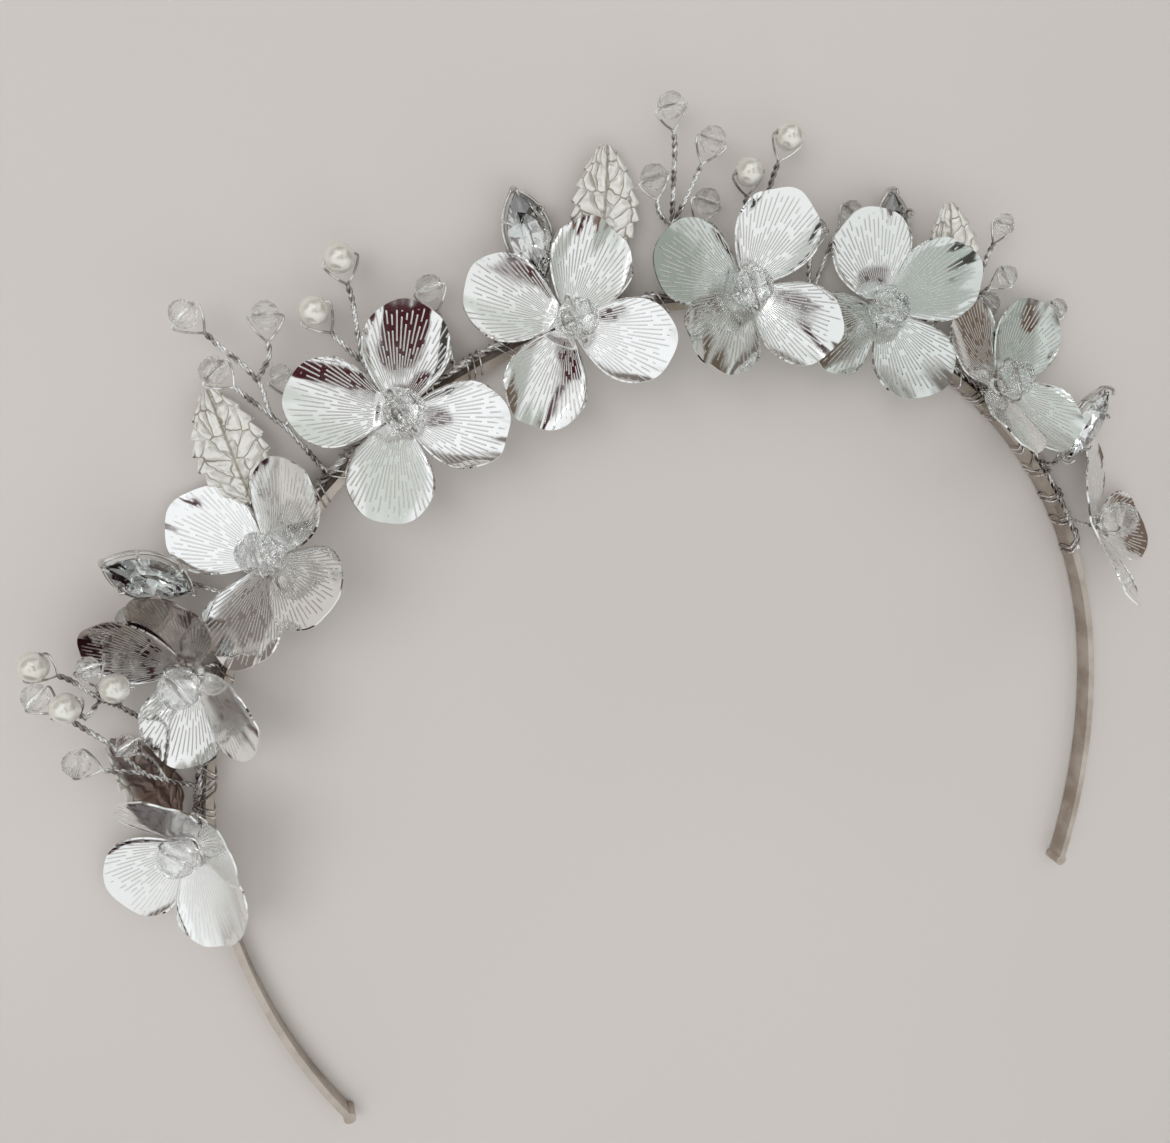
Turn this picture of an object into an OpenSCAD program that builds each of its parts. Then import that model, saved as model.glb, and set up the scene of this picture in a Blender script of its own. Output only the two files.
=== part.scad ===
// Bridal headpiece: a narrow silver band that carries stamped flowers, leaves, marquise stones and
// sprays of pearls and crystals on twisted wire. It lies on the back edge of its band. The arch is in
// the XY plane with its top along +Y, and +Z is the side that faces forward when it is worn.
// Every decoration is placed by its station, in degrees round the arch from +X, by its height over
// the outer face of the band, and by how far forward of the band's back edge it sits.

/* [Band] */
// Outer radius of the arch
arch_r = 75; // [74.6:0.2:75.4]
// Width of the flat strip, back to front
band_w = 3; // [2.4:0.1:3]
// Thickness of the flat strip
band_t = 1.1; // [0.8:0.1:1.6]
// Radius to which each leg closes in below the arch
leg_r = 110; // [90:5:160]
// Angle through which each leg runs on
leg_turn = 22; // [10:1:30]
// Radius of the rolled tip of each leg
roll_r = 1; // [0.9:0.1:1.6]

/* [Binding wire] */
// Thickness of the twisted bundle along the band
bundle_d = 1.4; // [1:0.1:1.5]
// Gap between the bundle and the band
bundle_gap = 0.2; // [0.2:0.05:0.3]
// Station at which the bundle starts
bundle_from = 14; // [10:1:18]
// Station at which the bundle ends
bundle_to = 171; // [169:1:175]
// Thickness of a twisted stem
stem_d = 0.8; // [0.6:0.1:0.9]
// Thickness of the single wire looped through a bead
loop_d = 0.4; // [0.3:0.05:0.45]

/* [Flowers] */
// Length of a petal from the middle of the flower
petal_l = 15; // [14.4:0.2:15]
// Greatest width of a petal
petal_w = 11.8; // [10.5:0.1:11.9]
// Thickness of the stamped sheet
sheet_t = 0.5; // [0.4:0.05:0.6]
// Radius of the wire hole at the middle of a flower
eye_r = 0.9; // [0.8:0.05:1]
// Radius at which the slots between the petals end
slot_r = 2.1; // [1.8:0.1:2.4]
// Diameter of the crystal at the middle of a flower
heart_d = 5.8; // [5:0.1:6]
// Height of that crystal's middle over the sheet
heart_lift = 3.7; // [3.6:0.1:4]

/* [Beads and stones] */
// Diameter of a pearl
pearl_d = 4; // [3.6:0.1:4.2]
// Diameter of a large crystal bead
crystal_d = 3.8; // [3.4:0.1:4]
// Diameter of a small crystal bead
small_d = 3.2; // [2.8:0.1:3.4]
// Radius of the hole through a bead
bore_r = 0.42; // [0.38:0.01:0.5]
// Length of a marquise stone
stone_l = 12; // [11:0.2:12.4]
// Width of a marquise stone
stone_w = 6; // [5.4:0.2:6.2]

/* [Leaves] */
// Length of a leaf
leaf_l = 16.5; // [15:0.5:17]
// Greatest width of a leaf
leaf_w = 10; // [8:0.5:10]
// Height of the raised veins
vein_h = 0.35; // [0.25:0.05:0.4]

/* [Hidden] */

bundle_r = bundle_d / 2;
// Distance of the bundle's centre line from the centre of the arch
bundle_at = arch_r + bundle_gap + bundle_r;
// The bundle's centre line, forward of the band's back edge
bundle_z = 1.5;
BUNDLE_STEP = 6;
WIRE_SIDES = 5;
PEARL = "pearl";
CRYSTAL = "crystal";
SMALL = "small";

// Flowers, one row each, from the left end of the arch to the right:
// station, height of the middle over the band, its distance forward, lean outward, lean along the
// arch, turn of the first petal, then for the four petals, clockwise: rise, sideways swing, bend
// from hub to tip (never 0), and hollowing across.
FLOWERS = [
    [167.5, 2.0, 6.5, 30, 0, 203, [40, 36, 14, 8], [-16, 4, 4, 14], [10, 10, 10, 10], [8, 5, 10, 10]],
    [148.5, 4.8, 6.0, 22, 28, 183, [11, 30, 20, 13], [16, -10, 0, -8], [15, 10, 20, 10], [6, 10, 8, 6]],
    [135, 1.5, 7.0, 45, -10, 189, [33, 18, -2, 21], [-3, -6, 8, 1], [30, 10, 10, 10], [8, 8, 12, 6]],
    [115.5, 1.7, 7.0, 12, -15, 222, [15, 20, 7, -2], [3, 1, -1, 0], [15, 20, 10, 10], [8, 10, 6, 6]],
    [96, 1.2, 7.0, 14, -10, 229, [8, 23, -7, 3], [-1, 4, -4, 1], [10, 15, 10, 15], [6, 6, 8, 6]],
    [76, 1.6, 5.6, 14, 6, 241, [18, 14, 27, 8], [3, -4, -6, 6], [10, 10, 15, 10], [6, 8, 8, 6]],
    [59.5, 2.8, 5.3, 5, 13, 312, [9, 16, 23, 24], [-7, 3, 3, 1], [10, 10, 15, 15], [8, 6, 8, 6]],
    [41.5, 2.2, 5.4, 29, 4, 266, [20, 18, 31, 14], [2, -4, 12, -10], [15, 20, 15, 10], [8, 12, 10, 8]],
    [19, 1.5, 8.2, 48, 0, 45, [10, 8, 18, 15], [-4, 0, 4, 0], [10, 10, 10, 10], [8, 8, 8, 8]],
];

// Marquise stones: station, height and forward place of the stone's middle, swing of its length
// along the arch, rise of its outer tip forward, and roll of its table.
STONES = [
    [141, 14.2, 7.8, -1, 20, -10],
    [96.5, 13.2, 3.4, 3, 5, 6],
    [60, 13.5, 2.8, 28, 0, 10],
    [30, 8.2, 7.6, 20, 0, 20],
];

// Leaves: station, height and forward place of the leaf's foot, swing, rise and roll, as for stones.
LEAVES = [
    [131.5, 7.0, 3.5, -36, -5, 0],
    [90.5, 6.4, 1.8, -14, 2, 0],
    [51.5, 7.1, 2.4, 38, 12, 0],
    [166.3, 3.8, 2.7, -57, 1, 50],
];

// Spray beads: kind, then station, height and forward place of the bead's middle.
// The stem's points follow, from the bead down to the bundle or to the stem that it joins.
SPRAY = [
    [PEARL, [150, 24, 10],
        [[151, 19.5, 8], [152.8, 15.2, 5.8], [154, 12.5, 3.2], [156, 8, 1.4], [160, 1, 1.7]]],
    [CRYSTAL, [153, 23, 7.5],
        [[154.8, 17.6, 7.5], [157, 12.5, 6.4], [159.7, 8.5, 5.4], [161, 5.4, 3.8], [162.5, 1, 1.7]]],
    [PEARL, [152.5, 19.2, 11.5], [[154, 16.5, 8], [152.8, 15.2, 5.8]]],
    [PEARL, [151, 13.8, 8.2], [[154, 12.5, 3.2]]],
    [SMALL, [150.1, 17.6, 6.4], [[152.7, 15, 5.7]]],
    [CRYSTAL, [158.5, 17, 7], [[159, 13, 7.2], [159.7, 8.5, 5.4]]],
    [SMALL, [156, 11, 9], [[158.3, 7.5, 5.8], [161, 5.4, 3.8]]],
    [CRYSTAL, [146, 14.2, 2.6], [[144.5, 9, 2.4], [144, 1, 1.7]]],
    [CRYSTAL, [122.5, 29, 7], [[122.5, 24, 6.5], [122.5, 17, 6], [124, 12.5, 5], [124, 10, 4], [125, 1, 1.7]]],
    [CRYSTAL, [118.5, 22, 5.5], [[120.5, 18, 5.5], [122.5, 17, 6]]],
    [CRYSTAL, [124, 22, 9], [[124, 17, 7.5], [124, 12.5, 5]]],
    [SMALL, [121, 15, 4], [[122, 11.5, 4], [124, 10, 4]]],
    [PEARL, [111.5, 22, 6], [[112.5, 17, 5.5], [115, 9, 4], [116, 1, 1.7]]],
    [PEARL, [115.5, 18.5, 5], [[115.5, 14, 5], [115, 9, 4]]],
    [CRYSTAL, [106.5, 12.5, 4], [[107, 8, 3], [108, 1, 1.7]]],
    [CRYSTAL, [83.5, 26, 6], [[83, 21, 4.5], [83, 10, 2.2], [83, 1, 1.7]]],
    [CRYSTAL, [80, 21.5, 5.5], [[81, 17, 4], [83, 10, 2.2]]],
    [CRYSTAL, [85.2, 17.2, 5.6], [[84.5, 12.5, 3.5], [83, 10, 2.2]]],
    [CRYSTAL, [80, 13.5, 4], [[81, 9, 2.2], [83, 5, 1.9]]],
    [PEARL, [76.5, 17.5, 5], [[76, 13, 3.2], [74.5, 9.5, 2.4], [73.5, 1, 1.7]]],
    [PEARL, [73.5, 22.5, 6], [[74, 17.5, 4.5], [74.5, 9.5, 2.4]]],
    [CRYSTAL, [69, 10.8, 4.2], [[68.2, 6.5, 2.4], [67, 1, 1.7]]],
    [SMALL, [65, 14.7, 2.2], [[66, 10.5, 2], [67, 1, 1.7]]],
    [SMALL, [51, 21.5, 5], [[50.5, 17, 4], [49, 9, 2.2], [48.5, 1, 1.7]]],
    [SMALL, [47.5, 16, 4], [[48.5, 12, 3], [49, 9, 2.2]]],
    [SMALL, [46.8, 11.8, 2.5], [[47.3, 7.5, 1.7], [48.4, 1, 1.7]]],
    [SMALL, [40, 18, 2.4], [[40, 13, 1.2], [39, 6, 1.4], [38, 1, 1.7]]],
];

function numbered(name, n) = [for (i = [1:n]) str(name, "_", i)];

function unit(v) = v / norm(v);
// Points outward from the arch, and along it, at a station
function outward(at) = [cos(at), sin(at), 0];
function along(at) = [-sin(at), cos(at), 0];
function forward() = [0, 0, 1];
// A point given by its station, its height over the band and its distance forward
function point(p) = outward(p[0]) * (arch_r + p[1]) + forward() * p[2];
// A placing matrix from three axes and an origin
function placing(x, y, z, o) = [
    [x[0], y[0], z[0], o[0]],
    [x[1], y[1], z[1], o[1]],
    [x[2], y[2], z[2], o[2]],
    [0, 0, 0, 1],
];

// A flower's own frame: x along the arch, z out of its face
function flower_normal(row) = let (at = row[0], lean = row[3], side = row[4])
    forward() * cos(lean) * cos(side) + outward(at) * sin(lean) * cos(side) + along(at) * sin(side);
function flower_frame(row) = let (
    z = flower_normal(row),
    a = along(row[0]),
    x = unit(a - z * (a * z))
) placing(x, cross(z, x), z, point([row[0], row[1], row[2]]));

// A stone's or leaf's own frame: y along its length, z out of its face
function blade_frame(row) = let (
    at = row[0], swing = row[3], rise = row[4], roll = row[5],
    flat_y = outward(at) * cos(swing) + along(at) * sin(swing),
    y = flat_y * cos(rise) + forward() * sin(rise),
    z0 = forward() * cos(rise) - flat_y * sin(rise),
    x0 = cross(y, z0),
    z = z0 * cos(roll) + x0 * sin(roll)
) placing(cross(y, z), y, z, point([row[0], row[1], row[2]]));

// A spray bead's own frame: y from the stem to the bead, x along its hole
function spray_frame(row) = let (
    o = point(row[1]),
    y = unit(o - point(row[2][0])),
    x = unit(cross(y, forward()))
) placing(x, y, cross(x, y), o);

function bead_d(kind) = kind == PEARL ? pearl_d : kind == CRYSTAL ? crystal_d : small_d;

// Triangles of a quad whose corners run clockwise seen from outside
function quad(a, b, c, d) = [[a, b, c], [a, c, d]];
function flat(lists) = [for (l = lists) each l];

// Direction of a path at each of its points
function tangent(path, i) = let (n = len(path) - 1)
    unit(i == 0 ? path[1] - path[0] : i == n ? path[n] - path[n - 1]
        : unit(path[i] - path[i - 1]) + unit(path[i + 1] - path[i]));

// A round wire swept along a path, with its sides kept square to the direction up
module wire(path, d, up = [0, 0, 1]) {
    n = WIRE_SIDES;
    last = len(path) - 1;
    points = [for (i = [0:last]) let (
            t = tangent(path, i), u = unit(cross(up, t)), v = cross(t, u)
        ) for (k = [0:n - 1]) path[i] + (u * cos(360 * k / n) + v * sin(360 * k / n)) * d / 2];
    faces = concat(
        [[for (k = [0:n - 1]) k]],
        flat([for (i = [0:last - 1], k = [0:n - 1]) let (
                a = i * n + k, b = i * n + (k + 1) % n
            ) quad(a, a + n, b + n, b)]),
        [[for (k = [n - 1:-1:0]) last * n + k]]
    );
    polyhedron(points, faces);
}

// Gap between a bead and the wire that passes beside it
LOOP_GAP = 0.15;
// One wire that goes up beside a bead, through its hole and down the other side. The bead's middle
// is the origin, its hole runs along x, and the two ends meet at the neck, below it on y. A throat
// keeps both sides close together until they are clear of a flower's slots.
function loop_side(r, neck, throat) = throat > 0
    ? [[throat / 2, 1.3 * throat - neck], [r + LOOP_GAP, -0.6 * r], [r + loop_d, 0]]
    : [[0.85 * r + LOOP_GAP, -r - LOOP_GAP], [r + loop_d, 0]];
module bead_loop(r, neck, throat = 0) {
    half = loop_side(r, neck, throat);
    path = concat([[0, -neck]], half, [for (i = [len(half) - 1:-1:0]) [-half[i][0], half[i][1]]]);
    m = len(path);
    n = WIRE_SIDES;
    points = [for (i = [0:m - 1]) let (
            before = unit(path[i] - path[(i + m - 1) % m]),
            after = unit(path[(i + 1) % m] - path[i]),
            t = unit(before + after),
            mitre = min(1.5, 1 / max(0.1, t * after)),
            side = [t[1], -t[0], 0] * mitre
        ) for (k = [0:n - 1]) [path[i][0], path[i][1], 0]
            + (side * cos(360 * k / n) + [0, 0, 1] * sin(360 * k / n)) * loop_d / 2];
    faces = flat([for (i = [0:m - 1], k = [0:n - 1]) let (
            a = i * n + k, b = i * n + (k + 1) % n, j = (i + 1) % m, c = j * n + k, e = j * n + (k + 1) % n
        ) quad(a, b, e, c)]);
    polyhedron(points, faces);
}

// Distance from a spray bead's middle down to the neck of its loop
NECK_BELOW = 1.5;
function spray_neck(kind) = bead_d(kind) / 2 + NECK_BELOW;
// The same for the crystal of a flower, whose neck goes down through the flower's eye
heart_neck = heart_lift + 1;
// Width of that loop where it passes through the eye
heart_throat = 1.1;
// Depth under a flower's middle at which its post ends
POST_UNDER = 0.7;
// Turn of the post's sides, so that none lies flush with the bundle's
POST_ROLL = 7;

ARC_SIDES = 180;
// The flat strip, seen from the front: a half circle and two legs that close in
module ring_piece(r, from, to) {
    reach = 2 * r;
    intersection() {
        difference() {
            circle(r, $fn = ARC_SIDES);
            circle(r - band_t, $fn = ARC_SIDES);
        }
        polygon([[0, 0], reach * [cos(from), sin(from)], reach * [cos((from + to) / 2), sin((from + to) / 2)],
            reach * [cos(to), sin(to)]]);
    }
}
module leg() {
    translate([arch_r - leg_r, 0]) {
        ring_piece(leg_r, -leg_turn, 0);
        rotate(-leg_turn) translate([leg_r - band_t / 2, 0]) circle(roll_r, $fn = 24);
    }
}
module band() {
    color("silver") linear_extrude(band_w) {
        ring_piece(arch_r, 0, 90);
        ring_piece(arch_r, 90, 180);
        leg();
        mirror([1, 0]) leg();
    }
}

// The post under a flower, from the bundle up to the neck of its bead's loop, just under the eye
module flower_stem(row) {
    z = flower_normal(row);
    hub = point([row[0], row[1], row[2]]);
    hull() wire([point([row[0], bundle_at - arch_r, bundle_z]), hub - z * POST_UNDER], stem_d,
        along(row[0] + POST_ROLL));
    multmatrix(flower_frame(row)) rotate(row[5] + 45) translate([0, 0, heart_lift]) rotate([90, 0, 0])
        bead_loop(heart_d / 2, heart_neck, heart_throat);
}

// Where a stone's stem bends, short of the stone's end and behind its girdle
STONE_FOOT = 1.6;
STONE_BEHIND = 2.1;
// Where a leaf's stem bends, short of the leaf's foot and behind it, and how far it runs under the leaf
LEAF_FOOT = 1;
LEAF_BEHIND = 0.9;
LEAF_OVER = 2.6;
// How far in front of the bundle's middle that stem starts
ROOT_LIFT = 0.15;
// A stem's sides are kept square to this, so that none lies flush with the bundle's or a loop's
STEM_ROLL = [0.2, -0.3, 1];
// The stem behind a stone or leaf, from the bundle to just behind its foot
module blade_stem(row, foot, behind, over) {
    m = blade_frame(row);
    y = [m[0][1], m[1][1], m[2][1]];
    z = [m[0][2], m[1][2], m[2][2]];
    o = point([row[0], row[1], row[2]]);
    start = o + y * foot - z * behind;
    root = atan2(start[1], start[0]);
    wire([point([root, bundle_at - arch_r, bundle_z + ROOT_LIFT]), start, start + y * over],
        stem_d, STEM_ROLL);
}

module binding_wire() {
    color("silver") {
        turns = ceil((bundle_to - bundle_from) / BUNDLE_STEP);
        wire([for (i = [0:turns]) let (at = bundle_from + (bundle_to - bundle_from) * i / turns)
            point([at, bundle_at - arch_r, bundle_z])], bundle_d);
        for (row = FLOWERS) flower_stem(row);
        for (row = STONES) blade_stem(row, -stone_l / 2 - STONE_FOOT, STONE_BEHIND, STONE_FOOT);
        for (row = LEAVES) blade_stem(row, -LEAF_FOOT, LEAF_BEHIND, LEAF_OVER);
        for (row = SPRAY) {
            o = point(row[1]);
            y = unit(o - point(row[2][0]));
            wire(concat([o - y * (spray_neck(row[0]) - LOOP_GAP)], [for (p = row[2]) point(p)]),
                stem_d, STEM_ROLL);
            multmatrix(spray_frame(row)) bead_loop(bead_d(row[0]) / 2, spray_neck(row[0]));
        }
    }
}

// A stamped flower: one thin sheet with four petals round an eye
PETAL_ROWS = 3;
PETAL_COLUMNS = 6;
// Share of a petal's length at which it is widest
PETAL_SHOULDER = 0.62;

// Half the width of a petal at a share s of its length, up to its shoulder
function petal_half(s) = petal_w / 2 * sin(90 * min(1, s / PETAL_SHOULDER));
// A point of a petal's middle surface. Along it u runs from the hub to the edge, and v across it
// from -90 to 90, so that the outer edge is an even half ellipse.
function petal_point(u, v, rise, swing, bend, hollow) = let (
        s0 = slot_r / petal_l,
        end = PETAL_SHOULDER + (1 - PETAL_SHOULDER) * cos(v),
        s = s0 + (end - s0) * u,
        start = rise - bend / 2,
        slope = start + bend * s,
        k = petal_l * 180 / PI / bend,
        r = k * (sin(slope) - sin(start)),
        h = k * (cos(start) - cos(slope)),
        y = petal_half(s) * sin(v),
        share = min(1, s / PETAL_SHOULDER),
        lift = petal_w / 2 * sin(hollow) * share * (1 - cos(v)),
        p = [r - lift * sin(slope), y, h + lift * cos(slope)],
        n = [-sin(slope), 0, cos(slope)]
    ) [rot_z(p, swing), rot_z(n, swing)];
function rot_z(p, a) = [p[0] * cos(a) - p[1] * sin(a), p[0] * sin(a) + p[1] * cos(a), p[2]];

// On the ring where the slots end, the petals' first rows are spread evenly
function ring_point(k, j, turn) = rot_z([slot_r, 0, 0],
    turn - 90 * k + (j / PETAL_COLUMNS - 0.5) * 2 * RING_SHARE);
RING_SHARE = 40;

module flower_sheet(row) {
    turn = row[5];
    columns = PETAL_COLUMNS + 1;
    petal_size = PETAL_ROWS * columns;
    ring_size = 4 * columns;
    // Middle surface with its normals: the eye's ring, the slots' ring, then the petals row by row
    eye = [for (k = [0:3], j = [0:PETAL_COLUMNS]) [ring_point(k, j, turn) * eye_r / slot_r, forward()]];
    ring = [for (k = [0:3], j = [0:PETAL_COLUMNS]) [ring_point(k, j, turn), forward()]];
    petals = [for (k = [0:3], i = [1:PETAL_ROWS], j = [0:PETAL_COLUMNS])
        petal_point(i / PETAL_ROWS, -90 + 180 * j / PETAL_COLUMNS,
            row[6][k], turn - 90 * k + row[7][k], row[8][k], row[9][k])];
    skin = concat(eye, ring, petals);
    count = len(skin);
    points = concat([for (p = skin) p[0] + p[1] * sheet_t / 2], [for (p = skin) p[0] - p[1] * sheet_t / 2]);
    // Numbers of the points of petal k, where row 0 is the slots' ring
    function at(k, i, j) = i == 0 ? ring_size + k * columns + j
        : 2 * ring_size + k * petal_size + (i - 1) * columns + j;
    // The eye's ring and the slots' ring, numbered round the flower clockwise
    function around(m) = let (w = (m + ring_size) % ring_size, k = floor(w / columns), j = w % columns)
        k * columns + (PETAL_COLUMNS - j);
    tops = concat(
        flat([for (k = [0:3], i = [0:PETAL_ROWS - 1], j = [0:PETAL_COLUMNS - 1])
            quad(at(k, i, j), at(k, i, j + 1), at(k, i + 1, j + 1), at(k, i + 1, j))]),
        flat([for (m = [0:ring_size - 1]) let (a = around(m), b = around(m + 1))
            quad(b, a, a + ring_size, b + ring_size)])
    );
    // The outer edge, clockwise: out along each petal, round its tip, back, and across the slot
    edge = flat([for (k = [0:3]) concat(
        [for (i = [0:PETAL_ROWS]) at(k, i, PETAL_COLUMNS)],
        [for (j = [PETAL_COLUMNS - 1:-1:0]) at(k, PETAL_ROWS, j)],
        [for (i = [PETAL_ROWS - 1:-1:0]) at(k, i, 0)])]);
    rim = len(edge);
    walls = concat(
        flat([for (m = [0:rim - 1]) let (a = edge[m], b = edge[(m + 1) % rim])
            quad(b, a, a + count, b + count)]),
        flat([for (m = [0:ring_size - 1]) let (a = around(m), b = around(m + 1))
            quad(a, b, b + count, a + count)])
    );
    polyhedron(points, concat(tops, [for (f = tops) [f[2] + count, f[1] + count, f[0] + count]], walls));
}
module flower(i) {
    row = FLOWERS[i];
    color("gainsboro") multmatrix(flower_frame(row)) flower_sheet(row);
}

// A cut bead, eight sided, drilled along x: shares of its radius at which the end faces stand, and
// to which they reach
BEAD_END = 0.8;
BEAD_FLAT = 0.7;
module cut_bead(d) {
    r = d / 2;
    rotate([0, 90, 0]) rotate([0, 0, 22.5]) rotate_extrude($fn = 8) polygon([
        [bore_r, -BEAD_END * r], [BEAD_FLAT * r, -BEAD_END * r], [r, 0], [BEAD_FLAT * r, BEAD_END * r],
        [bore_r, BEAD_END * r],
    ]);
}
module pearl(d) {
    difference() {
        sphere(d = d, $fn = 32);
        rotate([0, 90, 0]) cylinder(h = 2 * d, r = bore_r, center = true, $fn = 24);
    }
}
module flower_bead(i) {
    color([0.9, 0.94, 0.95, 0.6]) multmatrix(flower_frame(FLOWERS[i])) rotate(FLOWERS[i][5] + 45)
        translate([0, 0, heart_lift]) cut_bead(heart_d);
}
module spray_bead(i) {
    row = SPRAY[i];
    color(row[0] == PEARL ? [0.93, 0.91, 0.87] : [0.88, 0.93, 0.94, 0.6])
        multmatrix(spray_frame(row)) if (row[0] == PEARL) pearl(pearl_d); else cut_bead(bead_d(row[0]));
}

// A marquise outline: two arcs that meet in a point at each end
function marquise(l, w, steps) = let (
        r = (l * l / 4 + w * w / 4) / w,
        a = asin(l / 2 / r)
    ) concat(
        [for (i = [0:steps - 1]) let (t = -a + 2 * a * i / steps) [r * cos(t) - (r - w / 2), r * sin(t)]],
        [for (i = [0:steps - 1]) let (t = a - 2 * a * i / steps) [-r * cos(t) + (r - w / 2), r * sin(t)]]
    );

// Heights of the stone over and under its girdle
CROWN = 1.3;
GIRDLE = 0.3;
PAVILION = 2.2;
STONE_STEPS = 5;
// The table's shares of the stone's length and width, and the keel's share and width
TABLE_L = 0.58;
TABLE_W = 0.55;
KEEL_L = 0.25;
KEEL_W = 0.4;
// A cut stone: table, crown, girdle and a pavilion that ends in a short keel
module stone_body() {
    n = 2 * STONE_STEPS;
    levels = [
        for (p = marquise(stone_l * KEEL_L, KEEL_W, STONE_STEPS)) [p[0], p[1], -PAVILION],
        for (p = marquise(stone_l, stone_w, STONE_STEPS)) [p[0], p[1], -GIRDLE / 2],
        for (p = marquise(stone_l, stone_w, STONE_STEPS)) [p[0], p[1], GIRDLE / 2],
        for (p = marquise(stone_l * TABLE_L, stone_w * TABLE_W, STONE_STEPS)) [p[0], p[1], CROWN],
    ];
    polyhedron(levels, concat(
        [[for (k = [0:n - 1]) k]],
        flat([for (i = [0:2], k = [0:n - 1]) let (a = i * n + k, b = i * n + (k + 1) % n)
            quad(a, a + n, b + n, b)]),
        [[for (k = [n - 1:-1:0]) 3 * n + k]]
    ));
}
module marquise_stone(i) {
    color([0.85, 0.9, 0.9, 0.6]) multmatrix(blade_frame(STONES[i])) stone_body();
}

// The claw setting: a low gallery under the stone and six claws folded over its crown
CLAW = 0.5;
// How far a claw stands outside the stone's edge, and how far its tip reaches in over it
CLAW_OUT = 0.62;
CLAW_IN = 0.15;
// Heights at which a claw bends and ends, from the girdle's middle
CLAW_BEND = 0.3;
CLAW_TIP = 0.95;
GALLERY_TOP = -0.6;
GALLERY_H = 0.9;
// How far the gallery stands out from the stone, and how wide it is, along and across
GALLERY_OUT = [1.3, 0.9];
GALLERY_WIDE = [2.3, 1.7];
// Places of the side claws, as shares of the stone's width and length
SIDE_CLAW = [0.41, 0.22];
module claw(x, y) {
    out = unit([x, y]);
    over = [x, y] - out * CLAW_IN;
    side = [x, y] + out * CLAW_OUT;
    hull() {
        translate([side[0], side[1], GALLERY_TOP - GALLERY_H / 2]) cube(CLAW, center = true);
        translate([side[0], side[1], CLAW_BEND]) cube(CLAW, center = true);
    }
    hull() {
        translate([side[0], side[1], CLAW_BEND]) cube(CLAW, center = true);
        translate([over[0], over[1], CLAW_TIP]) cube(CLAW * 0.8, center = true);
    }
}
module claw_setting(i) {
    color("silver") multmatrix(blade_frame(STONES[i])) {
        translate([0, 0, GALLERY_TOP - GALLERY_H]) linear_extrude(GALLERY_H) difference() {
            polygon(marquise(stone_l + GALLERY_OUT[0], stone_w + GALLERY_OUT[1], STONE_STEPS));
            polygon(marquise(stone_l + GALLERY_OUT[0] - GALLERY_WIDE[0],
                stone_w + GALLERY_OUT[1] - GALLERY_WIDE[1], STONE_STEPS));
        }
        for (side = [-1, 1]) {
            claw(0, side * stone_l / 2);
            for (end = [-1, 1]) claw(side * stone_w * SIDE_CLAW[0], end * stone_l * SIDE_CLAW[1]);
        }
    }
}

// A stamped leaf: a thin sheet with a toothed edge, folded along its midrib, with raised side veins
LEAF_TEETH = 5;
// Angle at which each half rises from the midrib
LEAF_FOLD = 9;
// How far the leaf arches up at its middle
LEAF_ARCH = 0.8;
// Share of the width that is left between two teeth
TOOTH_ROOT = 0.86;
// Half the width at each end of the leaf
LEAF_END = 0.5;
function leaf_half(s) = leaf_w / 2 * pow(sin(180 * pow(s, 0.85)), 0.8);
module leaf_sheet() {
    rows = 2 * LEAF_TEETH;
    across = [-1, -0.5, 0, 0.5, 1];
    skin = [for (i = [0:rows]) let (
            s = 0.03 + 0.94 * i / rows,
            tooth = i % 2 == 0 ? 1 : TOOTH_ROOT,
            half = max(LEAF_END, leaf_half(s) * tooth)
        ) for (v = across) let (
            vein = v == 0 ? vein_h : (i + (abs(v) == 1 ? 0 : 1)) % 2 == 0 ? vein_h : 0
        ) [v * half, s * leaf_l, abs(v) * half * tan(LEAF_FOLD) + vein + LEAF_ARCH * sin(180 * s)]];
    count = len(skin);
    n = len(across);
    points = concat([for (p = skin) p + [0, 0, sheet_t / 2]], [for (p = skin) p - [0, 0, sheet_t / 2]]);
    tops = flat([for (i = [0:rows - 1], j = [0:n - 2]) let (a = i * n + j)
        quad(a, a + n, a + n + 1, a + 1)]);
    edge = concat([for (j = [0:n - 1]) j], [for (i = [1:rows]) i * n + n - 1],
        [for (j = [n - 2:-1:0]) rows * n + j], [for (i = [rows - 1:-1:1]) i * n]);
    rim = len(edge);
    walls = flat([for (m = [0:rim - 1]) let (a = edge[m], b = edge[(m + 1) % rim])
        quad(a, b, b + count, a + count)]);
    polyhedron(points, concat(tops, [for (f = tops) [f[2] + count, f[1] + count, f[0] + count]], walls));
}
module leaf(i) {
    color([0.89, 0.87, 0.83]) multmatrix(blade_frame(LEAVES[i])) leaf_sheet();
}

band();
binding_wire();
for (i = [0:len(FLOWERS) - 1]) {
    flower(i);
    flower_bead(i);
}
for (i = [0:len(STONES) - 1]) {
    marquise_stone(i);
    claw_setting(i);
}
for (i = [0:len(LEAVES) - 1])
    leaf(i);
for (i = [0:len(SPRAY) - 1])
    spray_bead(i);
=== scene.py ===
import math
import random

import bmesh
import bpy
from mathutils import Matrix, Vector
from mathutils.geometry import interpolate_bezier


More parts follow.
